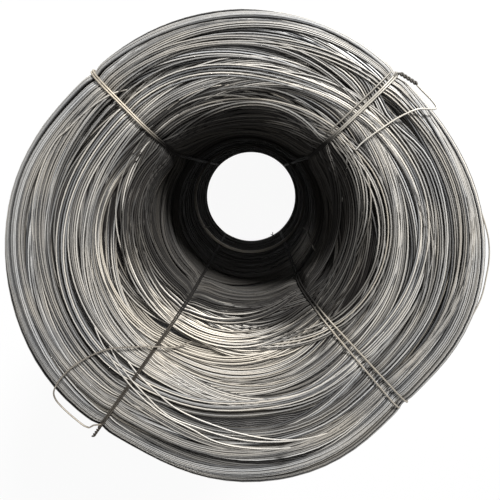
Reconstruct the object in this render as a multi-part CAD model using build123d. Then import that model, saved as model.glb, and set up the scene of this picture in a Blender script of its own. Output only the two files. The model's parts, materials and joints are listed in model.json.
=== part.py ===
"""A coil of drawn steel wire, standing on its end and held by four wire ties.

Millimetres, +Z up along the bore, origin on the floor under the middle of the outer wall.
The wound wire is one turned solid. Its bore lies off the middle, towards +Y, because the
coil hung from its bore when it was tied, so the turns sagged to the other side. Each tie
is a doubled length of thinner wire, passed through the bore and round the coil's section,
drawn tight and twisted off into a pigtail.
"""

import math
import os

from build123d import *

# Coil
bore_diameter = 260.0
thin_wall = 150.0
thick_wall = 290.0
coil_height = 680.0
wire_diameter = 2.5
shoulder_radius = 50.0
mouth_radius = 70.0
foot_outer_bevel = 30.0
foot_inner_bevel = 18.0

# The layers of turns step round the shoulder and the mouth in flats, one for each layer.
shoulder_flats = 4
mouth_flats = 5

# Grooves between layers of turns on the flats of the two ends, by how far out they lie,
# from the bore (0) to the outer wall (1).
crown_groove_shares = (0.48, 0.55, 0.62)
foot_groove_shares = (0.25, 0.45, 0.65)

# Ties
tie_wire_diameter = 2.5
strand_gap = 0.2
seat_clearance = 0.3
tie_flat_depth = 8.5
tightest_flat_depth = 24.0
pigtail_length = 28.0
pigtail_rise_deg = 12.0
knot_cover = 0.1
tail_lift = 1.2
tail_bend_radius = 9.0

# The round tie wire is drawn with this many sides.
tie_wire_sides = 8

# All cuts run this far past what they cut.
overrun = 5.0

bore_radius = bore_diameter / 2
outer_radius = (thin_wall + bore_diameter + thick_wall) / 2
bore_offset = (thick_wall - thin_wall) / 2
tie_radius = tie_wire_diameter / 2
strand_depth = tie_radius + seat_clearance
seat_depth = tie_wire_diameter + 2 * seat_clearance
seat_width = tie_wire_diameter + 2 * seat_clearance
pair_offset = (tie_wire_diameter + strand_gap) / 2
knot_radius = pair_offset + tie_radius + knot_cover
knot_lift = knot_radius + seat_clearance
tie_section = RegularPolygon(tie_radius, tie_wire_sides, major_radius=False)


def stepped(x, y, radius, first_deg, flats):
    """Points a quarter of the way round a corner whose centre is at x, y."""
    turns = [math.radians(first_deg + 90 * index / flats) for index in range(flats + 1)]
    return [(x + radius * math.cos(turn), y + radius * math.sin(turn)) for turn in turns]


def shoulder_points(reach):
    """The outer wall's bevelled foot and its shoulder, from the floor up."""
    middle = reach - shoulder_radius, coil_height - shoulder_radius
    foot = [(reach - foot_outer_bevel, 0), (reach, foot_outer_bevel)]
    return foot + stepped(*middle, shoulder_radius, 0, shoulder_flats)


def wall_section(reach, inset):
    """One wall of the coil cut lengthwise: X out from the bore's axis, Y up.

    reach is the outer wall's distance from that axis, and inset draws all sides in.
    """
    middle = bore_radius + mouth_radius, coil_height - mouth_radius
    mouth = stepped(*middle, mouth_radius, 90, mouth_flats)
    foot = [(bore_radius, foot_inner_bevel), (bore_radius + foot_inner_bevel, 0)]
    wall = make_face(Polyline(*shoulder_points(reach), *mouth, *foot, close=True))
    return offset(wall, -inset, kind=Kind.INTERSECTION) if inset else wall


def turned(face, offset):
    """Turn a face about the upright axis that stands this far along Y."""
    return Pos(0, offset, 0) * revolve(Plane.XZ * face, axis=Axis.Z)


def outer_form():
    """The coil's outside, turned about its own middle, with no bore yet."""
    half = Polyline((0, 0), *shoulder_points(outer_radius), (0, coil_height), close=True)
    return turned(make_face(half), 0)


def bore_form():
    """The bore with its flared mouth and foot."""
    span = bore_radius + mouth_radius + foot_inner_bevel
    blank = Pos(0, -overrun) * Rectangle(span, coil_height + 2 * overrun, align=Align.MIN)
    return turned(blank - wall_section(outer_radius + span, 0), bore_offset)


def layer_grooves():
    """The gaps that part the layers of turns, as V grooves half a wire deep."""
    ends = [(share, coil_height) for share in crown_groove_shares]
    ends += [(share, 0) for share in foot_groove_shares]
    grooves = []
    for share, height in ends:
        radius = bore_radius + share * (outer_radius - bore_radius)
        notch = Pos(radius, height) * RegularPolygon(wire_diameter / 2, 4)
        grooves.append(turned(notch, bore_offset * (1 - share)))
    return grooves


class Tie:
    """One tie in an upright plane through the bore's axis.

    strands: each strand's turn in degrees from that plane, and its sideways shift as a
    share of the pair's. rise: how far up the shoulder the knot sits, in degrees.
    drop_share: how far down the outer wall, as a share of the height. swing and
    tail_swing: the turn of the pigtail and of a loose end from straight down the
    outside. route: where the loose end runs, as shares of the outer radius along X and
    Y, and how far it lies under the crown's level as a share of the shoulder's radius.
    flat_depth: how far the tie draws in the outer wall. flat_turn: the turn of that flat
    from square to the tie, in degrees.
    """

    def __init__(
        self,
        azimuth,
        strands,
        rise=0,
        drop_share=0,
        swing=0,
        tail_swing=0,
        route=(),
        flat_depth=tie_flat_depth,
        flat_turn=0,
    ):
        turn = math.radians(azimuth)
        aside, ahead = bore_offset * math.cos(turn), bore_offset * math.sin(turn)
        self.reach = math.sqrt(outer_radius**2 - aside**2) - ahead - flat_depth
        self.flat_depth = flat_depth
        self.flat_turn = flat_turn
        self.frame = Pos(0, bore_offset, 0) * Rot(0, 0, azimuth)
        self.strands = [
            self.frame * Rot(0, 0, turn) * Pos(0, shift_share * pair_offset, 0)
            for turn, shift_share in strands
        ]
        wall = self.reach - strand_depth
        sides = [
            wall * math.sin(math.radians(turn)) + shift_share * pair_offset
            for turn, shift_share in strands
        ]
        self.spread = max(sides) - min(sides)
        # X stands out from the coil's skin at the knot, and -Z runs down the outside.
        self.knot = (
            self.frame
            * Pos(self.reach - shoulder_radius, 0, coil_height - shoulder_radius)
            * Rot(0, -rise, 0)
            * Pos(shoulder_radius, 0, -drop_share * coil_height)
        )
        self.pigtail = self.along_skin(swing)
        self.loose_end = self.along_skin(tail_swing)
        self.route = route

    def along_skin(self, swing):
        """+Z runs from the knot along the skin, rising off it a little."""
        away = Rot(swing, 0, 0) * Rot(0, 180 - pigtail_rise_deg, 0)
        return self.knot * Pos(knot_lift, 0, 0) * away

    def drawn_in(self):
        """What the tie's pull takes off the shoulder, the outer wall and the foot."""
        block = Box(
            shoulder_radius + self.flat_depth + overrun,
            outer_radius,
            coil_height + 2 * overrun,
            align=(Align.MIN, Align.CENTER, Align.MIN),
        )
        block = Pos(self.reach - shoulder_radius, 0, -overrun) * block
        kept = extrude(Plane.XZ * wall_section(self.reach, 0), outer_radius, both=True)
        turned_flat = Pos(self.reach, 0, 0) * Rot(0, 0, self.flat_turn) * Pos(-self.reach, 0, 0)
        return self.frame * turned_flat * (block - kept)

    def seats(self):
        """The slots that the strands bite into the turns, all round the section."""
        blank = Pos(0, -overrun) * Rectangle(
            self.reach + shoulder_radius, coil_height + 2 * overrun, align=Align.MIN
        )
        ring = Plane.XZ * (blank - wall_section(self.reach, seat_depth))
        slots = [place * extrude(ring, seat_width / 2, both=True) for place in self.strands]
        if self.spread > 2 * pair_offset:
            height = 2 * (knot_radius + seat_clearance)
            pocket = Box(seat_depth + overrun, self.spread, height)
            slots.append(self.knot * Pos((overrun - seat_depth) / 2, 0, 0) * pocket)
        return slots

    def loops(self):
        """The strands, each a closed loop of wire that lies in its seat."""
        outside = wall_section(self.reach, strand_depth - tie_radius)
        ring = Plane.XZ * (outside - wall_section(self.reach, strand_depth + tie_radius))
        loop = extrude(ring, tie_radius, both=True)
        sides = loop.edges().filter_by(Axis.Y, reverse=True)
        loop = chamfer(sides, tie_radius - tie_radius * math.tan(math.pi / tie_wire_sides))
        return [place * loop for place in self.strands]

    def knot_solid(self):
        """Where the strands are drawn together, and the pigtail they are twisted into."""
        root = self.knot * Pos(-strand_depth, 0, 0)
        upright = (Align.CENTER, Align.CENTER, Align.MIN)
        lump = root * Rot(0, 90, 0) * Cylinder(knot_radius, strand_depth + knot_lift, align=upright)
        pair = SlotCenterToCenter(2 * pair_offset, tie_wire_diameter + 2 * knot_cover, rotation=90)
        lump += self.pigtail * extrude(pair, pigtail_length)
        if self.spread > 2 * pair_offset:
            lump += root * extrude(Plane.XZ * tie_section, self.spread / 2, both=True)
        return lump

    def tail(self):
        """The loose end that runs from the knot and lies over the crown."""
        start = self.loose_end.position
        ahead = (self.loose_end * Pos(0, 0, pigtail_length + tail_bend_radius)).position
        level = coil_height + tie_radius + tail_lift
        places = [start, ahead]
        for x_share, y_share, drop_share in self.route:
            drop = drop_share * shoulder_radius
            places.append(Vector(x_share * outer_radius, y_share * outer_radius, level - drop))
        path = FilletPolyline(*places, radius=tail_bend_radius)
        return sweep(Plane(path @ 0, z_dir=path % 0) * tie_section, path=path)

    def solid(self):
        whole = self.knot_solid()
        for loop in self.loops():
            whole += loop
        if self.route:
            whole += self.tail()
        return whole


pair = [(0, -1), (0, 1)]
splayed = [(-1.3, 0.6), (1.3, -0.6)]
ties = {
    "tie_upper_right": Tie(
        44.0,
        pair,
        rise=40.0,
        swing=-80.0,
        tail_swing=-80.0,
        route=[(0.71, 0.63, 0.2), (0.63, 0.62, 0), (0.51, 0.56, 0), (0.42, 0.48, 0)],
    ),
    "tie_upper_left": Tie(134.5, pair, drop_share=0.3),
    "tie_lower_left": Tie(
        235.0,
        pair,
        rise=72.0,
        tail_swing=-50.0,
        route=[
            (-0.79, -0.55, 0.15),
            (-0.765, -0.46, 0),
            (-0.68, -0.375, 0),
            (-0.557, -0.311, 0),
            (-0.391, -0.28, 0),
            (-0.274, -0.297, 0),
            (-0.2, -0.27, 0),
        ],
    ),
    "tie_lower_right": Tie(
        311.5, splayed, drop_share=0.3, flat_depth=tightest_flat_depth, flat_turn=9.0
    ),
}


def build_coil():
    coil = outer_form() - bore_form()
    coil -= layer_grooves()
    for tie in ties.values():
        coil -= tie.drawn_in()
        coil -= tie.seats()
    return coil


os.makedirs("parts", exist_ok=True)
export_step(build_coil(), "parts/coil.step")
for name, tie in ties.items():
    export_step(tie.solid(), f"parts/{name}.step")
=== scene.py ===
"""The looks of a coil of drawn steel wire: its turns, its four ties and their loose ends."""

import json
import math

import bpy
import numpy as np
from mathutils import Matrix, Vector


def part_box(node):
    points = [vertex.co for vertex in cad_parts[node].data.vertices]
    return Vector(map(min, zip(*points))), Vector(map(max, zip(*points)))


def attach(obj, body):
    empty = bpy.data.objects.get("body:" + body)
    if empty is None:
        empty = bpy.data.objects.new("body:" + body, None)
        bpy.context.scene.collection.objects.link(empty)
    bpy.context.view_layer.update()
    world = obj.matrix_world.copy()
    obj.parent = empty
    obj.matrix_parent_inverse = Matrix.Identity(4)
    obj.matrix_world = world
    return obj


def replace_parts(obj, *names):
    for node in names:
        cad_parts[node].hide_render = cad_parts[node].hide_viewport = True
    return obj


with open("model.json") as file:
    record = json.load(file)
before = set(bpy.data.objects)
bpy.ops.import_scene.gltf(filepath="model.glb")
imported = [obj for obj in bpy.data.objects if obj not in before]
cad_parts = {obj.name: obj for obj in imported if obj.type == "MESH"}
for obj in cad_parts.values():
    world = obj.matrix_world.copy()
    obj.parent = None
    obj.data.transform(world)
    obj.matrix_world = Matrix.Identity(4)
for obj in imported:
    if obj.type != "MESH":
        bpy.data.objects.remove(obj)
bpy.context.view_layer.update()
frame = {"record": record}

# The inside of the coil, in place of the imported solid: hundreds of buried turns, painted
# nearly black as the shade that shows in the gaps between the turns on top, with a faint ridge for
# each turn.
OUTER_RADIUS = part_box("coil")[1].x
COIL_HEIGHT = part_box("coil")[1].z
bore_mount = frame["record"]["mounts"][0]
BORE_RADIUS = bore_mount["dims"]["r_mm"] / 1000
BORE_OFFSET = bore_mount["pos_m"][1]
MOUTH_RADIUS = 0.070
SHOULDER_RADIUS = 0.050
FOOT_OUTER_BEVEL = 0.030
FOOT_INNER_BEVEL = 0.018
MOUTH_RUN = MOUTH_RADIUS * math.pi / 2
SHOULDER_RUN = SHOULDER_RADIUS * math.pi / 2
BORE_FOOT_RUN = FOOT_INNER_BEVEL - COIL_HEIGHT + MOUTH_RADIUS
OUTER_WALL_FALL = COIL_HEIGHT - SHOULDER_RADIUS - FOOT_OUTER_BEVEL

# Where the ties draw the outer wall in: degrees round the coil's middle, depth, spread in degrees.
DRAWN_IN = [
    (43.1, 0.0107, 22.0),
    (133.2, 0.0095, 20.6),
    (238.1, 0.0115, 18.1),
    (320.8, 0.0241, 22.1),
]
WALL_SEARCH_ROUNDS = 4

CORE_DEPTH = 0.0095
WALL_CORE_DEPTH = 0.0055
CORE_STEPS_ROUND = 120
CORE_STEPS_ALONG = 60
CORE_FOOT_INSET_SHARE = 0.1
# Painted shade: the core is nearly black so that the gaps over it read as shadow.
CORE_PAINTED_SHADE = (0.004, 0.004, 0.004, 1)
CORE_PALE = (0.20, 0.19, 0.18, 1)
MOTTLE_SCALE = 30.0
BURIED_PITCH = 0.0029
BURIED_WANDER = 0.01
BURIED_RIDGE = 0.001

# The sockets for colours on a Mix node, which has a set of sockets for each kind of value.
MIX_SHARE, MIX_FIRST, MIX_SECOND, MIX_RESULT = 0, 6, 7, 2


def turn_from(angle, middle_deg):
    """Degrees from a direction, the short way round."""
    return (np.degrees(angle) - middle_deg + 180) % 360 - 180


def outer_wall(angle):
    """Distance of the outer wall from the bore's axis, drawn in where the ties pull.

    The pull depends on the bearing from the coil's middle, and that bearing on the
    distance, so the two are worked out in a few rounds.
    """
    along, aside = np.cos(angle), np.sin(angle)
    radius = OUTER_RADIUS
    for _ in range(WALL_SEARCH_ROUNDS):
        wall = np.sqrt(radius**2 - (BORE_OFFSET * along) ** 2) - BORE_OFFSET * aside
        bearing = np.arctan2(wall * aside + BORE_OFFSET, wall * along)
        radius = OUTER_RADIUS
        for middle_deg, depth, spread_deg in DRAWN_IN:
            radius = radius - depth * np.exp(-((turn_from(bearing, middle_deg) / spread_deg) ** 2))
    return wall


def crown_run(angle):
    """Length over the crown, from the foot of the mouth to the foot of the shoulder."""
    flat = outer_wall(angle) - BORE_RADIUS - MOUTH_RADIUS - SHOULDER_RADIUS
    return MOUTH_RUN + flat + SHOULDER_RUN


def skin(angle, run, depth):
    """Points under the coil's skin, and which way the skin faces there.

    angle goes round the bore's axis. run goes up the bore's wall to 0, over the mouth, the
    crown and the shoulder, and on down the outer wall. depth is how far in from the skin.
    """
    length = crown_run(angle)
    lean = np.clip(run / MOUTH_RADIUS, 0, math.pi / 2)
    drop = np.clip((run - length) / SHOULDER_RADIUS + math.pi / 2, 0, math.pi / 2)
    flat = np.clip(run - MOUTH_RUN, 0, length - MOUTH_RUN - SHOULDER_RUN)
    out = np.sin(drop) - np.cos(lean)
    up = np.sin(lean) * np.cos(drop)
    across = BORE_RADIUS + MOUTH_RADIUS * (1 - np.cos(lean)) + flat
    across = across + SHOULDER_RADIUS * np.sin(drop) - depth * out
    height = COIL_HEIGHT - MOUTH_RADIUS * (1 - np.sin(lean)) - depth * up
    height = height - SHOULDER_RADIUS * (1 - np.cos(drop))
    height = height + np.minimum(run, 0) - np.maximum(run - length, 0)
    around = np.stack(np.broadcast_arrays(np.cos(angle), np.sin(angle)), -1)
    points = np.concatenate([across[..., None] * around, height[..., None]], -1)
    facing = np.concatenate([out[..., None] * around, up[..., None]], -1)
    return points + np.array([0, BORE_OFFSET, 0]), facing


class Shade:
    """One output of a material's nodes, so that shader maths reads as plain sums."""

    def __init__(self, tree, socket):
        self.tree = tree
        self.socket = socket

    def maths(self, operation, first, second):
        return node(self.tree, "ShaderNodeMath", {"operation": operation}, {0: first, 1: second})

    def __add__(self, other):
        return self.maths("ADD", self, other)

    def __sub__(self, other):
        return self.maths("SUBTRACT", self, other)

    def __rsub__(self, other):
        return self.maths("SUBTRACT", other, self)

    def __mul__(self, other):
        return self.maths("MULTIPLY", self, other)

    __radd__ = __add__
    __rmul__ = __mul__


def node(tree, kind, settings=None, inputs=None, output=0):
    """Adds a node, sets it, feeds its sockets, and gives the output asked for."""
    made = tree.nodes.new(kind)
    for key, value in (settings or {}).items():
        setattr(made, key, value)
    for key, value in (inputs or {}).items():
        if isinstance(value, Shade):
            tree.links.new(value.socket, made.inputs[key])
        else:
            made.inputs[key].default_value = value
    return Shade(tree, made.outputs[output]) if len(made.outputs) else made


def mixed(tree, share, first, second, blend="MIX"):
    """A colour part of the way from the first to the second, or to the two multiplied."""
    settings = {"data_type": "RGBA", "blend_type": blend}
    inputs = {MIX_SHARE: share, MIX_FIRST: first, MIX_SECOND: second}
    return node(tree, "ShaderNodeMix", settings, inputs, output=MIX_RESULT)


def noise(tree, place, scale, detail):
    """A cloudy value from about 0 to 1."""
    inputs = {"Vector": place, "Scale": scale, "Detail": detail}
    return node(tree, "ShaderNodeTexNoise", {}, inputs)


def new_finish(name):
    """An empty material and its tree of nodes."""
    finish = bpy.data.materials.new(name)
    finish.use_nodes = True
    finish.node_tree.nodes.clear()
    return finish, finish.node_tree


def end_in_metal(tree, **inputs):
    """Ends a tree in a metal's shader. Spaces in its sockets' names are written as _."""
    values = {key.replace("_", " "): value for key, value in inputs.items()}
    shader = node(tree, "ShaderNodeBsdfPrincipled", {}, values)
    node(tree, "ShaderNodeOutputMaterial", {}, {"Surface": shader})


def packed_finish():
    """Painted shade: nearly black mottled steel, with a ridge for each buried turn."""
    finish, tree = new_finish("packed_turns")
    place = node(tree, "ShaderNodeTexCoord", output="Object")
    mottle = noise(tree, place, MOTTLE_SCALE, 3.0)
    flat = node(
        tree,
        "ShaderNodeVectorMath",
        {"operation": "MULTIPLY_ADD"},
        {0: place, 1: (1, 1, 0), 2: (0, -BORE_OFFSET, 0)},
    )
    across = node(tree, "ShaderNodeVectorMath", {"operation": "LENGTH"}, {0: flat}, output="Value")
    height = node(tree, "ShaderNodeSeparateXYZ", {}, {0: place}, output="Z")
    turned = (2 * math.pi / BURIED_PITCH) * (across + height + BURIED_WANDER * mottle)
    ridge = 0.5 + 0.5 * node(tree, "ShaderNodeMath", {"operation": "SINE"}, {0: turned})
    lumps = {"Height": ridge, "Distance": BURIED_RIDGE, "Strength": 0.8}
    end_in_metal(
        tree,
        Base_Color=mixed(tree, ridge * mottle, CORE_PAINTED_SHADE, CORE_PALE),
        Roughness=0.6 + 0.2 * mottle,
        Metallic=0.3,
        Normal=node(tree, "ShaderNodeBump", {}, lumps),
    )
    return finish


def mesh_piece(name, points, quads, finish):
    """One smooth piece of the object from arrays of points and four-cornered faces."""
    mesh = bpy.data.meshes.new(name)
    mesh.vertices.add(len(points))
    mesh.vertices.foreach_set("co", np.asarray(points, np.float32).ravel())
    mesh.loops.add(quads.size)
    mesh.loops.foreach_set("vertex_index", quads.astype(np.int32).ravel())
    mesh.polygons.add(len(quads))
    mesh.polygons.foreach_set("loop_start", np.arange(0, quads.size, 4, dtype=np.int32))
    mesh.polygons.foreach_set("use_smooth", np.ones(len(quads), bool))
    mesh.update(calc_edges=True)
    mesh.materials.append(finish)
    piece = bpy.data.objects.new(name, mesh)
    bpy.context.scene.collection.objects.link(piece)
    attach(piece, "root")
    return piece


def grid_quads(rows, columns, rows_close, columns_close):
    """Faces of a grid of points, closed round on itself where that is asked for."""
    row, column = np.meshgrid(
        np.arange(rows if rows_close else rows - 1),
        np.arange(columns if columns_close else columns - 1),
        indexing="ij",
    )
    after, beside = (row + 1) % rows, (column + 1) % columns
    corners = [(row, column), (row, beside), (after, beside), (after, column)]
    return np.stack([r * columns + c for r, c in corners], -1).reshape(-1, 4)


core_angle = np.linspace(0, 2 * math.pi, CORE_STEPS_ROUND, endpoint=False)[:, None]
core_stop = crown_run(core_angle) + OUTER_WALL_FALL
core_run = BORE_FOOT_RUN + np.linspace(0, 1, CORE_STEPS_ALONG) * (core_stop - BORE_FOOT_RUN)
on_crown = (core_run > 0) & (core_run < crown_run(core_angle))
core_points, _ = skin(core_angle, core_run, np.where(on_crown, CORE_DEPTH, WALL_CORE_DEPTH))
outer_and_bore, bore_and_outer = core_points[:, [-1, 0]], core_points[:, [0, -1]]
core_foot = outer_and_bore + CORE_FOOT_INSET_SHARE * (bore_and_outer - outer_and_bore)
core_foot[..., 2] = WALL_CORE_DEPTH
core_points = np.concatenate([core_points, core_foot], 1)
core = mesh_piece(
    "packed_turns",
    core_points.reshape(-1, 3),
    grid_quads(*core_points.shape[:2], True, True),
    packed_finish(),
)
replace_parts(core, "coil")

# The turns over the crown, from the mouth of the bore to the shoulder: bands of drawn wire
# that ran side by side off the machine, then slid over each other as the coil was pressed.
# The ties hold them down, and those near the bore get painted shade.
WIRE_RADIUS = 0.00125
TOP_CLEARANCE = 0.0001
TOP_LAYER_DEPTH = WIRE_RADIUS + TOP_CLEARANCE
LAYER_STEP = 0.0021
TIE_AZIMUTHS = {
    "upper_right": 44.0,
    "upper_left": 134.5,
    "lower_left": 235.0,
    "lower_right": 311.5,
}
TIE_DIP = 0.0028
TIE_DIP_REACH = 0.011

# Pitches from wire to wire are in wire radii. Sways are sizes of waves, from one to a turn up.
CROWN_STEPS = 96
CROWN_STEPS_NEAR_TIES = (0, 0.6, 1.4, 2.4, 3.8, 6.0)
BAND_WIRES = (3, 11)
CROWN_PITCH = (2.1, 2.6)
CROWN_COVER = 2.7
CROWN_OVERHANG_SHARE = 0.04
CROWN_MISSING_SHARE = 0.1
CROWN_SWAY = (0.010, 0.007, 0.004, 0.002)
CROWN_WIRE_SWAY = (0, 0.0003, 0.0004, 0.0004)
CROWN_RIDE = (0, 0.0005, 0.0004)
CROWN_UNEVEN = 0.0006
CROWN_TONE = (0.54, 0.05)
CROWN_WARMTH = (0.62, 0.2)
WIRE_TONE_SPREAD = 0.38
WIRE_WARMTH_SPREAD = 0.15
LAYER_ORDER = (0, 2, 1, 3)
# Painted shade on the buried layers, darker the deeper they lie under the bands on top.
LAYER_PAINTED_SHADE = (0.0, 0.08, 0.50, 0.72)

# Long partings: direction and spread in degrees, distance from the bore's axis, half the width.
PARTINGS = [
    (274, 22, 0.294, 0.0105),
    (36, 11, 0.2445, 0.0055),
    (137, 20, 0.231, 0.0010),
    (335, 16, 0.300, 0.0020),
]
BURIED_PARTING_SHARE = 0.4

# The painted shade on the mouth and down the bore: the run at which it ends, and by how much that is
# further or nearer on some sides, after their direction and spread in degrees. A wire can differ from
# the next.
PAINTED_SHADE_END = 0.079
PAINTED_SHADE_SIDES = [(328, 38, 0.024), (140, 45, 0.009), (254, 32, -0.040), (63, 27, -0.018)]
PAINTED_SHADE_FADE = 0.035
PAINTED_SHADE_MOST = 0.94
STREAK_SPREAD = 0.018
STREAK_SWAY = 0.005
STREAK_WAVES = (3, 5, 7, 11)
# Painted highlight on the mouth: the run it centres on, how far it reaches, and how much warmer it
# makes a wire.
HIGHLIGHT_RUN, HIGHLIGHT_REACH = 0.116, 0.050
HIGHLIGHT_WARMTH = 0.4
SMUDGE_DEG, SMUDGE_RUN = 279.2, 0.270
SMUDGE_LONG, SMUDGE_WIDE = 0.012, 0.008

STEEL_DARK = (0.13, 0.13, 0.13, 1)
STEEL_PALE = (0.76, 0.745, 0.715, 1)
COOL_CAST = (0.95, 0.97, 1.0, 1)
WARM_CAST = (1.0, 0.93, 0.82, 1)
# The near black that grime and painted shade darken a wire towards.
SHADE_AND_GRIME = (0.011, 0.010, 0.0092, 1)
WIRE_GLOSS = 0.1
STAIN_SCALE = 14.0
FLECK_SCALE = 420.0
SCRATCH_DEPTH = 0.0002

# Layout and most tones come from one source of chance. The streaks in the painted shade and
# the tones of the bore's bands come from another.
chance = np.random.default_rng(3)
streaks = np.random.default_rng(4)
ABOUT_A_TURN = 6.28


class Strands:
    """Lengths of wire that are gathered into one mesh, each with a strip of the bake."""

    SIDES = 8
    HALF_ROUND = np.radians(np.linspace(-112, 112, 5))
    THIN_HALF_ROUND = np.radians([-105, -35, 35, 105])
    SIDE_PAINTED_SHADE = 0.97
    STRIP_MARGIN = 0.05

    def __init__(self):
        self.grids = []
        self.shades = []
        self.closes = []

    def lay(self, path, facing, radius, tone, warmth, grime_and_shade, around=SIDES, closed=True):
        """One wire along a path. facing points away from what the wire lies on.

        around is the sides of a wire that shows all round, or else the angles of the part
        that shows, whose edges get painted shade, darker where they turn towards the next wire.
        """
        ahead = np.roll(path, -1, 0) - np.roll(path, 1, 0) if closed else np.gradient(path, axis=0)
        ahead = ahead / np.linalg.norm(ahead, axis=1, keepdims=True)
        side = np.cross(ahead, facing)
        side = side / np.linalg.norm(side, axis=1, keepdims=True)
        out = np.cross(side, ahead)
        whole = isinstance(around, int)
        arc = np.linspace(0, 2 * math.pi, around, endpoint=False) if whole else around
        ring = np.cos(arc)[:, None] * out[:, None, :] + np.sin(arc)[:, None] * side[:, None, :]
        grid = path[:, None, :] + np.reshape(radius, (-1, 1, 1)) * ring
        self.grids.append(grid)
        self.closes.append((closed, whole))
        shade = np.zeros((*grid.shape[:2], 4))
        for channel, value in enumerate((tone, warmth, grime_and_shade)):
            shade[..., channel] = np.reshape(value, (-1, 1))
        if not whole:
            # Painted shade on the flanks of a half-round wire, darkest at its edges.
            flank_shade = self.SIDE_PAINTED_SHADE * np.sin(np.minimum(np.abs(arc), math.pi / 2)) ** 2
            shade[..., 2] = 1 - (1 - shade[..., 2]) * (1 - flank_shade)
        self.shades.append(shade)

    def piece(self, name, finish, slot):
        """Joins the wires into one piece of the object."""
        faces, uvs, first = [], [], 0
        for index, (grid, (closed, whole)) in enumerate(zip(self.grids, self.closes)):
            rows, columns = grid.shape[:2]
            faces.append(first + grid_quads(rows, columns, closed, whole))
            steps = np.arange(rows if closed else rows - 1)
            sides = np.arange(columns if whole else columns - 1)
            step, side = np.meshgrid(steps, sides, indexing="ij")
            corners = [(step, side), (step, side + 1), (step + 1, side + 1), (step + 1, side)]
            along = np.stack([s for s, _ in corners], -1) / len(steps)
            strip = np.stack([s for _, s in corners], -1) / len(sides)
            strip = self.STRIP_MARGIN + (1 - 2 * self.STRIP_MARGIN) * strip
            uvs.append(np.stack([along, (index + strip) / len(self.grids)], -1).reshape(-1, 2))
            first += rows * columns
        points = np.concatenate([grid.reshape(-1, 3) for grid in self.grids])
        made = mesh_piece(name, points, np.concatenate(faces), finish)
        layer = made.data.uv_layers.new(name="OFBake")
        layer.data.foreach_set("uv", np.concatenate(uvs).astype(np.float32).ravel())
        shades = np.concatenate([shade.reshape(-1, 4) for shade in self.shades])
        layer = made.data.color_attributes.new("wire_shade", "FLOAT_COLOR", "POINT")
        layer.data.foreach_set("color", shades.astype(np.float32).ravel())
        return made


def wire_finish(name, dark, pale):
    """Bare wire, stained here and there and finely flecked. Each wire brings its own tone, and how far
    it is darkened by grime and by painted shade.
    """
    finish, tree = new_finish(name)
    shade = node(tree, "ShaderNodeAttribute", {"attribute_name": "wire_shade"}, output="Color")
    tone, warmth, grime_and_shade = [
        node(tree, "ShaderNodeSeparateColor", {}, {"Color": shade}, output=part)
        for part in ("Red", "Green", "Blue")
    ]
    place = node(tree, "ShaderNodeTexCoord", output="Object")
    stain = noise(tree, place, STAIN_SCALE, 4.0)
    fleck = noise(tree, place, FLECK_SCALE, 2.0)
    steel = mixed(tree, tone + 0.5 * stain + 0.3 * fleck - 0.4, dark, pale)
    cast = mixed(tree, warmth + stain - 0.5, COOL_CAST, WARM_CAST)
    steel = mixed(tree, 1.0, steel, cast, "MULTIPLY")
    scratches = {"Height": fleck, "Distance": SCRATCH_DEPTH, "Strength": 0.3}
    end_in_metal(
        tree,
        # Darkened towards near black by grime and by painted shade.
        Base_Color=mixed(tree, grime_and_shade, steel, SHADE_AND_GRIME),
        Metallic=0.45 - 0.45 * grime_and_shade,
        Roughness=0.42 + 0.3 * grime_and_shade + 0.15 * stain,
        Specular_IOR_Level=WIRE_GLOSS,
        Normal=node(tree, "ShaderNodeBump", {}, scratches),
    )
    return finish


def part_of_one(value):
    """Keeps a tone, a warmth or a grime between none and all."""
    return np.clip(value, 0, 1)


def steps_round(plain_steps, near_ties, extra=()):
    """Angles round the coil, closer together where the ties press the turns in."""
    angles = [*np.linspace(0, 360, plain_steps, endpoint=False), *extra]
    for azimuth in TIE_AZIMUTHS.values():
        angles += [azimuth + side * near for near in near_ties for side in (-1, 1)]
    return np.radians(np.unique(np.round(np.mod(angles, 360), 3)))


def tie_dip(angle, across):
    """How far the ties press the turns in."""
    dip = 0
    for azimuth in TIE_AZIMUTHS.values():
        aside = across * np.sin(angle - math.radians(azimuth))
        facing = np.cos(angle - math.radians(azimuth)) > 0
        dip = np.maximum(dip, TIE_DIP * np.exp(-((aside / TIE_DIP_REACH) ** 2)) * facing)
    return dip


def sway(angle, sizes):
    """A smooth wander round the coil: sizes of its waves, from one wave to a turn up."""
    wander = 0
    for waves, size in enumerate(sizes, 1):
        height = size * chance.normal()
        wander = wander + height * np.cos(waves * angle + chance.uniform(0, ABOUT_A_TURN))
    return wander


def towards(angle, middle_deg, spread_deg):
    """1 in a direction, falling away smoothly on both sides of it."""
    return np.exp(-((turn_from(angle, middle_deg) / spread_deg) ** 2))


def mouth_painted_shade(angle, run):
    """Painted shade on the mouth and down the bore, reaching further round on some sides than on
    others.
    """
    edge = PAINTED_SHADE_END
    for middle_deg, spread_deg, further in PAINTED_SHADE_SIDES:
        edge = edge + further * towards(angle, middle_deg, spread_deg)
    unshaded = np.clip((run - edge) / PAINTED_SHADE_FADE + 0.5, 0, 1)
    return PAINTED_SHADE_MOST * (1 - unshaded * unshaded * (3 - 2 * unshaded))


def streaked_painted_shade(angle, run):
    """The painted shade on one wire, which reaches a little further or less far than on its
    neighbours.
    """
    off = streaks.normal(0, STREAK_SPREAD)
    for waves in STREAK_WAVES:
        off = off + STREAK_SWAY * np.cos(waves * angle + streaks.uniform(0, ABOUT_A_TURN))
    return mouth_painted_shade(angle, run + off)


def mouth_painted_highlight(angle, run):
    """A painted highlight on the mouth's turns round 250 degrees, the side that faces the key lamp."""
    return 0.8 * towards(angle, 250, 34) * np.exp(-(((run - HIGHLIGHT_RUN) / HIGHLIGHT_REACH) ** 2))


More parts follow.
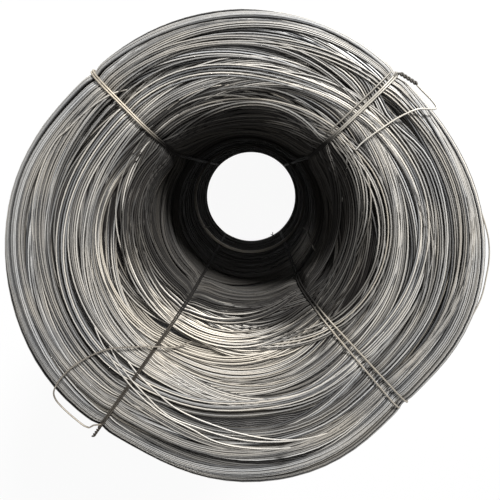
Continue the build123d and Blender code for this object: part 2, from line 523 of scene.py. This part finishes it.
def smudge(angle, run):
    """A spot of dirt on the crown near its rim."""
    along = np.radians(turn_from(angle, SMUDGE_DEG)) * (BORE_RADIUS + SMUDGE_RUN)
    across = run - SMUDGE_RUN
    return 0.9 * np.exp(-((along / SMUDGE_LONG) ** 2) - (across / SMUDGE_WIDE) ** 2)


def parted(angle, middle, half_width, layer):
    """How far a band is pushed aside by the long partings that it lies against.

    The buried layers open less than the ones on top.
    """
    push = 0
    for middle_deg, spread_deg, across, opening in PARTINGS:
        off = turn_from(angle, middle_deg)
        line = MOUTH_RUN + across - BORE_RADIUS - MOUTH_RADIUS
        beside = (middle + push)[np.argmin(np.abs(off))] - line
        room = opening * (1 if layer < 2 else BURIED_PARTING_SHARE) + half_width - abs(beside)
        push = push + math.copysign(max(room, 0), beside) * np.exp(-((off / spread_deg) ** 2))
    return push


smudge_steps = SMUDGE_DEG + np.arange(-2, 3) * 0.8
crown_angle = steps_round(CROWN_STEPS, CROWN_STEPS_NEAR_TIES, smudge_steps)
crown_length = crown_run(crown_angle)
crown_upper, crown_under = Strands(), Strands()
share, band = -CROWN_OVERHANG_SHARE, 0
while share < 1 + CROWN_OVERHANG_SHARE:
    wires = chance.integers(*BAND_WIRES)
    pitch = WIRE_RADIUS * chance.uniform(*CROWN_PITCH)
    layer = LAYER_ORDER[band % 4]
    middle = (share + wires * pitch / 2 / crown_length.max()) * crown_length
    middle = middle + sway(crown_angle, CROWN_SWAY)
    middle = middle + parted(crown_angle, middle, wires * pitch / 2, layer)
    band_tone = chance.normal(*CROWN_TONE)
    band_warmth = chance.normal(*CROWN_WARMTH)
    band_depth = TOP_LAYER_DEPTH + LAYER_STEP * layer + np.abs(sway(crown_angle, CROWN_RIDE))
    for wire in range(wires):
        if chance.random() < CROWN_MISSING_SHARE:
            continue
        run = middle + (wire - wires / 2) * pitch + sway(crown_angle, CROWN_WIRE_SWAY)
        depth = band_depth + abs(chance.normal(0, CROWN_UNEVEN))
        depth = depth + tie_dip(crown_angle, BORE_RADIUS + np.maximum(run, 0))
        painted_highlight = mouth_painted_highlight(crown_angle, run)
        grime_and_shade = LAYER_PAINTED_SHADE[layer] * (1 - painted_highlight) + streaked_painted_shade(crown_angle, run)
        path, facing = skin(crown_angle, run, depth)
        (crown_upper if layer < 2 else crown_under).lay(
            path,
            facing,
            WIRE_RADIUS,
            part_of_one(band_tone + chance.normal(0, WIRE_TONE_SPREAD) + painted_highlight),
            part_of_one(band_warmth + chance.normal(0, WIRE_WARMTH_SPREAD) + HIGHLIGHT_WARMTH * painted_highlight),
            part_of_one(grime_and_shade + smudge(crown_angle, run)),
            Strands.HALF_ROUND,
        )
    share += wires * pitch / crown_length.max() / CROWN_COVER
    band += 1
steel_finish = wire_finish("drawn_steel", STEEL_DARK, STEEL_PALE)
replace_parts(crown_upper.piece("crown_turns_upper", steel_finish, "coil_wire"), "coil")
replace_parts(crown_under.piece("crown_turns_under", steel_finish, "coil_wire"), "coil")

# The turns of the mouth: bands that were laid off the middle, so that they lie high on the
# mouth on one side of the coil and dive into the bore on the other, over the crown's turns.
MOUTH_STEPS = 96
MOUTH_STEPS_NEAR_TIES = (0, 0.8, 2.0, 4.0)
MOUTH_BANDS = 15
MOUTH_BAND_WIRES = (3, 8)
MOUTH_PITCH = (2.4, 3.2)
MOUTH_BANDS_TOP = 0.075
MOUTH_BANDS_SPAN = 0.115
MOUTH_OFF_MIDDLE = (0.012, 0.040)
MOUTH_SWAY = (0, 0.006, 0.003, 0.0015)
MOUTH_WIRE_SWAY = (0, 0.0005, 0.0005, 0.0005)
MOUTH_LEVELS = (0.0007, 0.0022, 0.0037)
MOUTH_TONE = (0.52, 0.08)
MOUTH_WARMTH = (0.62, 0.2)
MOUTH_PAINTED_SHADE_SHARE = (0.9, 1)
MOUTH_HIGHLIGHT_SHARE = 0.95

mouth_angle = steps_round(MOUTH_STEPS, MOUTH_STEPS_NEAR_TIES)
mouth_turns = Strands()
for band in range(MOUTH_BANDS):
    wires = chance.integers(*MOUTH_BAND_WIRES)
    pitch = WIRE_RADIUS * chance.uniform(*MOUTH_PITCH)
    middle = MOUTH_BANDS_TOP - MOUTH_BANDS_SPAN * (band + chance.random()) / MOUTH_BANDS
    off_middle = chance.uniform(*MOUTH_OFF_MIDDLE)
    middle = middle + off_middle * np.cos(mouth_angle - chance.uniform(0, ABOUT_A_TURN))
    middle = middle + sway(mouth_angle, MOUTH_SWAY)
    band_tone = chance.normal(*MOUTH_TONE)
    proud = MOUTH_LEVELS[band % 3]
    for wire in range(wires):
        run = middle + (wire - wires / 2) * pitch + sway(mouth_angle, MOUTH_WIRE_SWAY)
        pressed = tie_dip(mouth_angle, BORE_RADIUS + np.maximum(run, 0)) / TIE_DIP
        depth = TOP_LAYER_DEPTH - proud + (proud + TIE_DIP) * pressed
        painted_highlight = MOUTH_HIGHLIGHT_SHARE * mouth_painted_highlight(mouth_angle, run)
        path, facing = skin(mouth_angle, run, depth)
        mouth_turns.lay(
            path,
            facing,
            WIRE_RADIUS,
            part_of_one(band_tone + chance.normal(0, WIRE_TONE_SPREAD) + painted_highlight),
            part_of_one(chance.normal(*MOUTH_WARMTH) + HIGHLIGHT_WARMTH * painted_highlight),
            streaked_painted_shade(mouth_angle, run) * chance.uniform(*MOUTH_PAINTED_SHADE_SHARE),
            Strands.HALF_ROUND,
        )
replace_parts(mouth_turns.piece("mouth_turns", steel_finish, "coil_wire"), "coil")

# The turns down the bore: the first ones wound, which lean a little as they go round. They
# are painted darker than the rest as shade, lighter below the mouth and in one deep patch as
# painted light. Near the foot a few stand proud in a ring that catches the light.
BORE_STEPS = 84
BORE_STEPS_NEAR_TIES = (0, 1.2, 3.0)
BORE_TOP = 0.02
NEAR_MOUTH = -0.16
BORE_BAND_WIRES = (3, 10)
HIGH_PITCH, DEEP_PITCH = (2.3, 2.8), (2.05, 2.3)
HIGH_SWAY, DEEP_SWAY = (0.014, 0.008, 0.004), (0.007, 0.006, 0.003)
HIGH_STEP_SHARE = 0.7
DEEP_STEP_SHARES = (0.98, 0.86)
BORE_WIRE_SWAY = (0, 0.0004, 0.0004)
BORE_TONE = (0.52, 0.24)
BORE_WIRE_TONE_SPREAD = 0.28
BORE_WARMTH = (0.6, 0.2)
WALL_UNEVEN = 0.0003
PAINTED_LIGHT_DEPTH = 0.12
LIT_PATCH_RUN, LIT_PATCH_REACH = -0.17, 0.08
LIP_LEVEL = 0.235
LIP_LEAN = 0.055
LIP_LEAN_DEG = 100
LIP_WIRES = 11
LIP_PITCH = 2.1
LIP_PROUD = 0.0032


def bore_painted_light(angle, run):
    """Painted light on the bore's wall: below the mouth round 255 degrees, and in a patch deep down
    round 328 degrees.
    """
    high = 1.6 * np.clip(run + PAINTED_LIGHT_DEPTH, 0, PAINTED_LIGHT_DEPTH) * towards(angle, 255, 45)
    down = (run - LIT_PATCH_RUN) / LIT_PATCH_REACH
    return high + 0.8 * towards(angle, 328, 17) * np.exp(-(down**2))


bore_angle = steps_round(BORE_STEPS, BORE_STEPS_NEAR_TIES)
bore_turns = Strands()
height, band = BORE_TOP, 0
while height > BORE_FOOT_RUN:
    wires = chance.integers(*BORE_BAND_WIRES)
    near_mouth = height > NEAR_MOUTH
    pitch = WIRE_RADIUS * chance.uniform(*(HIGH_PITCH if near_mouth else DEEP_PITCH))
    lean = sway(bore_angle, HIGH_SWAY if near_mouth else DEEP_SWAY)
    layer = band % 2
    band_tone = streaks.normal(*BORE_TONE)
    for wire in range(wires):
        run = height - wire * pitch + lean + sway(bore_angle, BORE_WIRE_SWAY)
        run = np.maximum(run, BORE_FOOT_RUN + WIRE_RADIUS)
        depth = TOP_LAYER_DEPTH + layer * LAYER_STEP + abs(chance.normal(0, WALL_UNEVEN))
        depth = depth + tie_dip(bore_angle, BORE_RADIUS)
        path, facing = skin(bore_angle, run, depth)
        # Painted shade on the bore's turns, lessened where there is painted light.
        bore_turns.lay(
            path,
            facing,
            WIRE_RADIUS,
            part_of_one(band_tone + chance.normal(0, BORE_WIRE_TONE_SPREAD)),
            part_of_one(chance.normal(*BORE_WARMTH)),
            part_of_one(streaked_painted_shade(bore_angle, run) - bore_painted_light(bore_angle, run)),
            Strands.HALF_ROUND if near_mouth else Strands.THIN_HALF_ROUND,
        )
    height -= wires * pitch * (HIGH_STEP_SHARE if near_mouth else DEEP_STEP_SHARES[layer])
    band += 1

lip_level = LIP_LEVEL - LIP_LEAN * np.cos(bore_angle + math.radians(LIP_LEAN_DEG))
lip_run = lip_level - COIL_HEIGHT + MOUTH_RADIUS
# Painted shade on the lip ring, away from the side round 235 degrees where the light falls.
lip_painted_shade = 0.9 * (1 - towards(bore_angle, 235, 75))
for wire in range(LIP_WIRES):
    proud = LIP_PROUD * math.sin(math.pi * (wire + 0.5) / LIP_WIRES)
    run = lip_run + LIP_PITCH * WIRE_RADIUS * wire + sway(bore_angle, BORE_WIRE_SWAY)
    path, facing = skin(bore_angle, run, TOP_LAYER_DEPTH - proud)
    bore_turns.lay(path, facing, WIRE_RADIUS, 1.0, 1.0, lip_painted_shade, Strands.THIN_HALF_ROUND)
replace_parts(bore_turns.piece("bore_turns", steel_finish, "coil_wire"), "coil")

# The turns down the outer wall, last off the machine and rubbed bright by handling, in
# bands that lap each other as those on the crown do.
OUTER_STEPS = 96
OUTER_STEPS_NEAR_TIES = (0, 1.0, 2.6)
OUTER_PITCH = (2.2, 2.7)
OUTER_SWAY = (0.006, 0.005, 0.003, 0.002)
OUTER_STEP_SHARES = (0.85, 0.68)
OUTER_TONE = (0.52, 0.08)
OUTER_WIRE_TONE_SPREAD = 0.22
OUTER_WARMTH = (0.5, 0.2)
# Painted shade on the outer wall's lower layer of bands.
OUTER_UNDER_PAINTED_SHADE = 0.2

outer_angle = steps_round(OUTER_STEPS, OUTER_STEPS_NEAR_TIES)
outer_length = crown_run(outer_angle)
outer_turns = Strands()
fall, band = 0.0, 0
while fall < OUTER_WALL_FALL:
    wires = chance.integers(*BAND_WIRES)
    pitch = WIRE_RADIUS * chance.uniform(*OUTER_PITCH)
    lean = sway(outer_angle, OUTER_SWAY)
    band_tone = chance.normal(*OUTER_TONE)
    layer = band % 2
    for wire in range(wires):
        run = fall + wire * pitch + lean + sway(outer_angle, CROWN_WIRE_SWAY)
        run = np.minimum(run, OUTER_WALL_FALL - WIRE_RADIUS) + outer_length
        depth = TOP_LAYER_DEPTH + layer * LAYER_STEP + abs(chance.normal(0, WALL_UNEVEN))
        depth = depth + tie_dip(outer_angle, OUTER_RADIUS)
        path, facing = skin(outer_angle, run, depth)
        outer_turns.lay(
            path,
            facing,
            WIRE_RADIUS,
            part_of_one(band_tone + chance.normal(0, OUTER_WIRE_TONE_SPREAD)),
            part_of_one(chance.normal(*OUTER_WARMTH)),
            OUTER_UNDER_PAINTED_SHADE * layer,
            Strands.THIN_HALF_ROUND,
        )
    fall += wires * pitch * OUTER_STEP_SHARES[layer]
    band += 1
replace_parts(outer_turns.piece("outer_turns", steel_finish, "coil_wire"), "coil")

# The turns of the end that the coil stands on, pressed level by its weight, with the
# bevels at its bore and its outer edge. Dusty, and never seen in use.
FOOT_WIRES = 118
FOOT_SWAY = (0, 0.0006, 0.0005)
FOOT_EDGE_SHARE = 0.03
FOOT_UNEVEN = 0.0004
FOOT_TONE = (0.45, 0.16)
FOOT_WARMTH = (0.5, 0.2)
FOOT_GRIME = 0.3
DOWN = (0.0, 0.0, -1.0)

foot_angle = steps_round(BORE_STEPS, BORE_STEPS_NEAR_TIES)
foot_wall = outer_wall(foot_angle)
foot_turns = Strands()
for wire in range(FOOT_WIRES):
    share = wire / (FOOT_WIRES - 1)
    across = BORE_RADIUS + WIRE_RADIUS + share * (foot_wall - BORE_RADIUS - 2 * WIRE_RADIUS)
    inside = FOOT_EDGE_SHARE < share < 1 - FOOT_EDGE_SHARE
    across = across + sway(foot_angle, FOOT_SWAY) * inside
    inner_bevel = FOOT_INNER_BEVEL - across + BORE_RADIUS
    outer_bevel = FOOT_OUTER_BEVEL - foot_wall + across
    rise = np.maximum(np.maximum(inner_bevel, outer_bevel), 0)
    rise = rise + WIRE_RADIUS + abs(chance.normal(0, FOOT_UNEVEN))
    rise = rise + tie_dip(foot_angle, across)
    along, aside = across * np.cos(foot_angle), across * np.sin(foot_angle)
    foot_turns.lay(
        np.stack([along, aside + BORE_OFFSET, rise], -1),
        DOWN,
        WIRE_RADIUS,
        part_of_one(chance.normal(*FOOT_TONE)),
        part_of_one(chance.normal(*FOOT_WARMTH)),
        FOOT_GRIME,
        Strands.THIN_HALF_ROUND,
    )
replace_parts(foot_turns.piece("foot_turns", steel_finish, "coil_wire"), "coil")

# Stray turns: lengths of the same wire that sprang out of their bands and lie across the
# others, two that bow out at the rim, and broken ends that stick out into the bore. On the
# crown their ends are tucked under the turns beside them.
STRAY_RADIUS = 0.8 * WIRE_RADIUS
STRAY_DEPTH = 0.0005
STRAY_STEP = 0.006
TUCK_DEPTH = 0.006
UP = (0.0, 0.0, 1.0)

# On the crown: degrees round the bore's axis, and the run from the foot of the mouth.
CROWN_STRAYS = [
    [(213, 0.163), (225, 0.178), (233, 0.191), (246, 0.211), (256, 0.222), (266, 0.239), (290, 0.255)],
    [(222, 0.168), (231, 0.181), (240, 0.195), (249, 0.212), (258, 0.218), (274, 0.233), (296, 0.246)],
    [(228, 0.165), (241, 0.181), (250, 0.196), (262, 0.209), (270, 0.220), (285, 0.239), (300, 0.243)],
    [(130, 0.136), (136, 0.146), (150, 0.164), (156, 0.175), (170, 0.187), (186, 0.196)],
    [(38, 0.080), (30.5, 0.0686), (20, 0.0521), (9, 0.0349), (2, 0.026)],
]

# At the rim: x and y, all at one level.
RIM_STRAYS = [
    [
        (0.331, 0.085),
        (0.3386, 0.0664),
        (0.3451, 0.046),
        (0.3484, 0.0216),
        (0.3475, -0.0046),
        (0.3433, -0.0378),
        (0.331, -0.070),
        (0.314, -0.100),
    ],
    [(0.338, 0.050), (0.3415, 0.020), (0.339, -0.015), (0.335, -0.0405), (0.320, -0.078)],
]
RIM_STRAY_LEVEL = 0.650

# In the bore: degrees round its axis, distance from that axis, and height.
FRAYED_ENDS = [
    [(-64, 0.134, 0.060), (-61, 0.127, 0.064), (-58, 0.120, 0.058), (-57, 0.1165, 0.062)],
    [(-57, 0.134, 0.050), (-58, 0.126, 0.055), (-61, 0.121, 0.050)],
    [(-153, 0.134, 0.215), (-150, 0.124, 0.225), (-148, 0.117, 0.215)],
    [
        (-27, 0.134, 0.540),
        (-24, 0.124, 0.535),
        (-21, 0.119, 0.500),
        (-18, 0.121, 0.470),
        (-17, 0.113, 0.452),
    ],
    [(-22, 0.134, 0.470), (-20, 0.122, 0.480), (-16, 0.116, 0.500)],
]
FRAYED_SIDES = 6
FRAYED_STEP = 0.003
FRAYED_FACING = (0.3, 0.2, 1.0)


def smooth_line(points, spacing):
    """A smooth line through points, with a point about every spacing of length."""
    points = np.asarray(points, float)
    ends = np.concatenate([[2 * points[0] - points[1]], points, [2 * points[-1] - points[-2]]])
    line = []
    for before, start, stop, after in zip(ends, ends[1:], ends[2:], ends[3:]):
        steps = max(2, int(np.linalg.norm(stop - start) / spacing))
        t = np.linspace(0, 1, steps, endpoint=False)[:, None]
        slope = (stop - before) * t
        bend = (2 * before - 5 * start + 4 * stop - after) * t**2
        twist = (3 * start - before - 3 * stop + after) * t**3
        line.append(0.5 * (2 * start + slope + bend + twist))
    return np.concatenate([*line, points[-1:]])


def tucked(steps):
    """How far down each step of a loose wire lies, which is nothing but at its two ends."""
    return TUCK_DEPTH * np.linspace(-1, 1, steps) ** 8


stray_turns = Strands()
for stray in CROWN_STRAYS:
    turn, run = np.array(stray).T
    line = smooth_line(np.stack([np.radians(turn) * OUTER_RADIUS, run], -1), STRAY_STEP)
    depth = STRAY_DEPTH + tucked(len(line))
    path, facing = skin(line[:, 0] / OUTER_RADIUS, line[:, 1], depth)
    stray_turns.lay(path, facing, STRAY_RADIUS, 0.5, 0.6, 0.0, closed=False)
for stray in RIM_STRAYS:
    line = smooth_line(stray, STRAY_STEP)
    path = np.concatenate([line, np.full((len(line), 1), RIM_STRAY_LEVEL)], 1)
    stray_turns.lay(path, UP, STRAY_RADIUS, 0.5, 1.0, 0.0, closed=False)
for end in FRAYED_ENDS:
    turn, across, level = np.array(end).T
    along, aside = across * np.cos(np.radians(turn)), across * np.sin(np.radians(turn))
    path = smooth_line(np.stack([along, aside + BORE_OFFSET, level], -1), FRAYED_STEP)
    stray_turns.lay(path, FRAYED_FACING, STRAY_RADIUS, 0.3, 0.8, 0.3, FRAYED_SIDES, closed=False)
stray_turns.piece("stray_turns", steel_finish, "coil_wire")

# The ties: each a doubled length of soft annealed wire, passed through the bore and round
# the coil's wall, drawn tight and twisted off with pliers into a pigtail. Two have a loose
# end that lies over the crown.
TIE_RADIUS = 0.00125
SEAT_CLEARANCE = 0.0003
STRAND_DEPTH = TIE_RADIUS + SEAT_CLEARANCE
STRAND_STEP = 0.006
STRAND_SWAY = (0, 0, 0, 0, 0.00015, 0.00015, 0.00015)
PAIR_OFFSET = 0.00135
# Painted shade on the ties' strands inside this distance from the bore's axis.
SHADED_ACROSS = BORE_RADIUS + 0.055
TIE_SHADE_FADE = 0.03
SLACK_START = 0.050
SLACK_END = 0.025
SLACK_STEPS = 60
SLACK_DEPTH = 0.0008
PIGTAIL_LENGTH = 0.028
PIGTAIL_RISE = math.radians(12)
PIGTAIL_STEP = 0.001
SEAT_END = 0.008
RISEN, RISEN_END = 0.001, 0.003
TWIST_START = 0.002
TWIST_PITCH = 0.010
TWIST_STEPS = 24
CUT_SHORT = 0.001
KNOT_FACING = (1, 0.3, 0.2)
TAIL_RADIUS = 0.0010
TAIL_LIFT = 0.0002
TAIL_LEVEL = COIL_HEIGHT + TIE_RADIUS + TAIL_LIFT
TAIL_STEP = 0.004
TAIL_ROOT_STEPS = (0, 0.012, 0.026)
TAIL_FACING = (0.1, 0.2, 1.0)
TIE_DARK = (0.10, 0.085, 0.07, 1)
TIE_PALE = (0.65, 0.615, 0.545, 1)
tie_finish = wire_finish("annealed_tie_wire", TIE_DARK, TIE_PALE)


def tie_section(reach):
    """The loop that a strand makes, as distance from the bore's axis and height."""
    quarter = np.linspace(0, math.pi / 2, 12)
    mouth = MOUTH_RADIUS - STRAND_DEPTH
    shoulder = SHOULDER_RADIUS - STRAND_DEPTH
    corner = STRAND_DEPTH * math.tan(math.pi / 8)
    over_mouth = [
        BORE_RADIUS + MOUTH_RADIUS - mouth * np.cos(quarter),
        COIL_HEIGHT - MOUTH_RADIUS + mouth * np.sin(quarter),
    ]
    over_shoulder = [
        reach - SHOULDER_RADIUS + shoulder * np.sin(quarter),
        COIL_HEIGHT - SHOULDER_RADIUS + shoulder * np.cos(quarter),
    ]
    under_foot = [
        (reach - STRAND_DEPTH, FOOT_OUTER_BEVEL + corner),
        (reach - FOOT_OUTER_BEVEL - corner, STRAND_DEPTH),
        (BORE_RADIUS + FOOT_INNER_BEVEL + corner, STRAND_DEPTH),
        (BORE_RADIUS + STRAND_DEPTH, FOOT_INNER_BEVEL + corner),
    ]
    loop = np.concatenate([np.stack(over_mouth, -1), np.stack(over_shoulder, -1), under_foot])
    loop = np.concatenate([loop, loop[:1]])
    length = np.concatenate([[0], np.cumsum(np.linalg.norm(np.diff(loop, axis=0), axis=1))])
    even = np.linspace(0, length[-1], int(length[-1] / STRAND_STEP), endpoint=False)
    return np.stack([np.interp(even, length, loop[:, 0]), np.interp(even, length, loop[:, 1])], -1)


def lay_strand(tie, azimuth, reach, shift_share, tone, warmth, grime_and_shade):
    """One strand round the coil's section, with painted shade where it goes over the mouth and down
    the bore.
    """
    loop = tie_section(reach)
    turn = math.radians(azimuth)
    out = np.array([math.cos(turn), math.sin(turn), 0])
    aside = np.array([-math.sin(turn), math.cos(turn), 0])
    wave = np.linspace(0, 2 * math.pi, len(loop), endpoint=False)
    shift = shift_share * PAIR_OFFSET + sway(wave, STRAND_SWAY)
    path = loop[:, :1] * out + shift[:, None] * aside + loop[:, 1:] * np.array(UP)
    path = path + np.array([0, BORE_OFFSET, 0])
    in_shade = np.clip((SHADED_ACROSS - loop[:, 0]) / TIE_SHADE_FADE, 0, 1)
    tie.lay(path, aside, TIE_RADIUS, tone, warmth, grime_and_shade + (1 - grime_and_shade) * in_shade)


def lay_slack_strand(tie, azimuth, slack, tone, warmth):
    """A third strand that lies loose on the crown, this far beside the pair."""
    turn = math.radians(azimuth)
    run = np.linspace(SLACK_START, float(crown_run(turn)) - SLACK_END, SLACK_STEPS)
    path, _ = skin(turn, run, 0 * run)
    across = np.hypot(path[:, 0], path[:, 1] - BORE_OFFSET)
    path, facing = skin(turn + slack / across, run, SLACK_DEPTH + tucked(SLACK_STEPS))
    # Painted shade where the loose strand lies over the mouth.
    grime_and_shade = 0.2 + 0.8 * mouth_painted_shade(turn, run)
    tie.lay(path, facing, TAIL_RADIUS, tone - 0.1, warmth, grime_and_shade, closed=False)


def along_skin(knot, swing):
    """+Z runs from the knot along the skin, rising off it a little."""
    lift = Matrix.Translation((2 * PAIR_OFFSET + SEAT_CLEARANCE, 0, 0))
    swung = Matrix.Rotation(math.radians(swing), 4, "X")
    return knot @ lift @ (swung @ Matrix.Rotation(math.pi - PIGTAIL_RISE, 4, "Y"))


def twisted_end(knot, pigtail, side):
    """One strand's end: up out of its seat, then wound round the other into the pigtail."""
    points = [
        knot @ Vector((-STRAND_DEPTH, side * PAIR_OFFSET, side * SEAT_END)),
        knot @ Vector((RISEN, side * PAIR_OFFSET, side * RISEN_END)),
    ]
    for step in np.linspace(TWIST_START, PIGTAIL_LENGTH - CUT_SHORT * (side > 0), TWIST_STEPS):
        phase = 2 * math.pi * step / TWIST_PITCH + (math.pi if side > 0 else 0)
        points.append(
            pigtail @ Vector((PAIR_OFFSET * math.cos(phase), PAIR_OFFSET * math.sin(phase), step))
        )
    return points


def lay_tie(
    name,
    strands,
    tone,
    warmth,
    grime_and_shade=0.05,
    slack=0,
    rise=0,
    drop_share=0,
    swing=0,
    tail_swing=0,
    route=(),
):
    """A whole tie.

    strands: each strand's turn in degrees from the tie's plane, and its sideways shift as
    a share of the pair's. rise: how far up the shoulder the knot sits, in degrees.
    drop_share: how far down the outer wall, as a share of the height. swing and
    tail_swing: the turn of the pigtail and of a loose end from straight down the outside.
    route: where the loose end runs, as x, y and how far it lies under the crown's level.
    """
    azimuth = TIE_AZIMUTHS[name]
    reach = float(outer_wall(math.radians(azimuth)))
    tie = Strands()
    for turn, shift_share in strands:
        lay_strand(tie, azimuth + turn, reach, shift_share, tone, warmth, grime_and_shade)
    if slack:
        lay_slack_strand(tie, azimuth, slack, tone, warmth)

    # X stands out from the coil's skin at the knot, and -Z runs down the outside.
    knot = (
        Matrix.Translation((0, BORE_OFFSET, 0))
        @ Matrix.Rotation(math.radians(azimuth), 4, "Z")
        @ Matrix.Translation((reach - SHOULDER_RADIUS, 0, COIL_HEIGHT - SHOULDER_RADIUS))
        @ Matrix.Rotation(math.radians(-rise), 4, "Y")
        @ Matrix.Translation((SHOULDER_RADIUS, 0, -drop_share * COIL_HEIGHT))
    )
    pigtail = along_skin(knot, swing)
    ends = [twisted_end(knot, pigtail, side) for side in (-1, 1)]
    if route:
        if tail_swing == swing:
            tail = [ends[0][-1]]
        else:
            root = along_skin(knot, tail_swing)
            tail = [root @ Vector((0, 0, step)) for step in TAIL_ROOT_STEPS]
        tail += [Vector((x, y, TAIL_LEVEL - drop)) for x, y, drop in route]
        line = smooth_line(tail, TAIL_STEP)
        radius = np.linspace(TIE_RADIUS, TAIL_RADIUS, len(line))
        tie.lay(line, TAIL_FACING, radius, tone + 0.15, warmth, 0.0, closed=False)
    facing = tuple(knot.to_3x3() @ Vector(KNOT_FACING))
    for end in ends:
        line = smooth_line(end, PIGTAIL_STEP)
        tie.lay(line, facing, TIE_RADIUS, tone - 0.2, warmth, 0.6, closed=False)
    piece = tie.piece(f"tie_wire_{name}", tie_finish, "tie_wire")
    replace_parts(piece, f"tie_{name}")


PAIR = [(0, -1), (0, 1)]
SPLAYED = [(-1.3, 0.6), (1.3, -0.6)]
lay_tie("upper_left", PAIR, tone=0.48, warmth=0.7, drop_share=0.3)
lay_tie("lower_right", SPLAYED, tone=0.45, warmth=0.5, drop_share=0.3)
lay_tie(
    "upper_right",
    PAIR,
    tone=0.55,
    warmth=0.1,
    slack=0.008,
    rise=40,
    swing=-80,
    tail_swing=-80,
    route=[
        (0.2485, 0.2205, 0.010),
        (0.222, 0.217, 0),
        (0.200, 0.208, 0),
        (0.178, 0.194, 0),
        (0.156, 0.178, 0),
        (0.147, 0.168, 0),
    ],
)
lay_tie(
    "lower_left",
    PAIR,
    tone=0.05,
    warmth=0.35,
    grime_and_shade=0.6,
    rise=72,
    tail_swing=-50,
    route=[
        (-0.2765, -0.1925, 0.0075),
        (-0.2678, -0.161, 0),
        (-0.238, -0.131, 0),
        (-0.195, -0.109, 0),
        (-0.156, -0.104, 0),
        (-0.123, -0.103, 0),
        (-0.096, -0.104, 0),
        (-0.070, -0.0945, 0),
    ],
)

# The floor that the coil stands on: a plain pale sheet that takes the coil's shadow. What
# looks at it straight sees it as nearly white, behind the coil and through its bore.
FLOOR_HALF = 9
FLOOR_CORNERS = [(-1, -1), (1, -1), (1, 1), (-1, 1)]
FLOOR_PAINT = (0.85, 0.85, 0.85, 1)
FLOOR_WHITE = 0.94
WHITE = (1, 1, 1, 1)


def seen_as_background(tree):
    """1 for rays that show the background: from the camera, off metal, or through glass."""
    camera_ray, glossy_ray, clear_ray = [
        node(tree, "ShaderNodeLightPath", output=ray)
        for ray in ("Is Camera Ray", "Is Glossy Ray", "Is Transmission Ray")
    ]
    seen = camera_ray + glossy_ray + clear_ray
    return node(tree, "ShaderNodeMath", {"operation": "MINIMUM"}, {0: seen, 1: 1.0})


def floor_finish():
    """Matt paint, with the glow of a white backdrop for what looks at it straight."""
    finish, tree = new_finish("pale_floor")
    matt = node(tree, "ShaderNodeBsdfDiffuse", {}, {"Color": FLOOR_PAINT})
    glow = node(tree, "ShaderNodeEmission", {}, {"Color": WHITE, "Strength": 1.0})
    share = FLOOR_WHITE * seen_as_background(tree)
    surface = node(tree, "ShaderNodeMixShader", {}, {0: share, 1: matt, 2: glow})
    node(tree, "ShaderNodeOutputMaterial", {}, {"Surface": surface})
    return finish


floor_mesh = bpy.data.meshes.new("floor")
floor_points = [(x * FLOOR_HALF, y * FLOOR_HALF, 0) for x, y in FLOOR_CORNERS]
floor_mesh.from_pydata(floor_points, [], [(0, 1, 2, 3)])
floor_mesh.materials.append(floor_finish())
floor = bpy.data.objects.new("floor", floor_mesh)
bpy.context.scene.collection.objects.link(floor)

# Soft studio light: a broad lamp from behind the thin side of the coil, a faint one from
# above, a weak one from the other side, and an even pale surround.
SURROUND_LIGHT = 0.12
LAMPS = {
    "key_lamp": {"place": (2.24, 4.2, 3.4), "aim": (0, 0, 0.65), "width": 1.3, "watts": 670},
    "top_lamp": {"place": (0.2, 0.9, 3.4), "aim": (0, 0, 0.6), "width": 1.6, "watts": 12},
    "fill_lamp": {"place": (-1.2, -3.0, 0.9), "aim": (0, 0, 0.4), "width": 1.6, "watts": 30},
}

world = bpy.data.worlds.new("surround")
world.use_nodes = True
world.node_tree.nodes.clear()
strength = SURROUND_LIGHT + (1 - SURROUND_LIGHT) * seen_as_background(world.node_tree)
surround = node(
    world.node_tree,
    "ShaderNodeBackground",
    {},
    {"Color": WHITE, "Strength": strength},
)
node(world.node_tree, "ShaderNodeOutputWorld", {}, {"Surface": surround})
bpy.context.scene.world = world

for name, lamp in LAMPS.items():
    light = bpy.data.lights.new(name, "AREA")
    light.shape = "DISK"
    light.size = lamp["width"]
    light.energy = lamp["watts"]
    holder = bpy.data.objects.new(name, light)
    holder.location = lamp["place"]
    aim = Vector(lamp["aim"]) - Vector(lamp["place"])
    holder.rotation_euler = aim.to_track_quat("-Z", "Y").to_euler()
    bpy.context.scene.collection.objects.link(holder)

# The camera: it looks down into the bore from half a metre above the crown, leaning a little
# towards the thick side of the coil, with +Y at the top of the picture.
CAMERA_PLACE = (0.0236, 0.1369, 1.2096)
CAMERA_LEAN_DEG = (-1.26, -10.71)
CAMERA_LENS = 28.8
CAMERA_SENSOR = 36.0

camera_data = bpy.data.cameras.new("camera")
camera_data.lens = CAMERA_LENS
camera_data.sensor_width = CAMERA_SENSOR
camera = bpy.data.objects.new("camera", camera_data)
lean_x, lean_y = [math.sin(math.radians(lean)) for lean in CAMERA_LEAN_DEG]
forward = Vector((lean_x, lean_y, -math.sqrt(1 - lean_x**2 - lean_y**2)))
right = forward.cross(Vector((0, 1, 0))).normalized()
turned = Matrix((right, right.cross(forward), -forward)).transposed().to_4x4()
camera.matrix_world = Matrix.Translation(CAMERA_PLACE) @ turned
bpy.context.scene.collection.objects.link(camera)
bpy.context.scene.camera = camera
bpy.context.scene.view_settings.view_transform = "Standard"
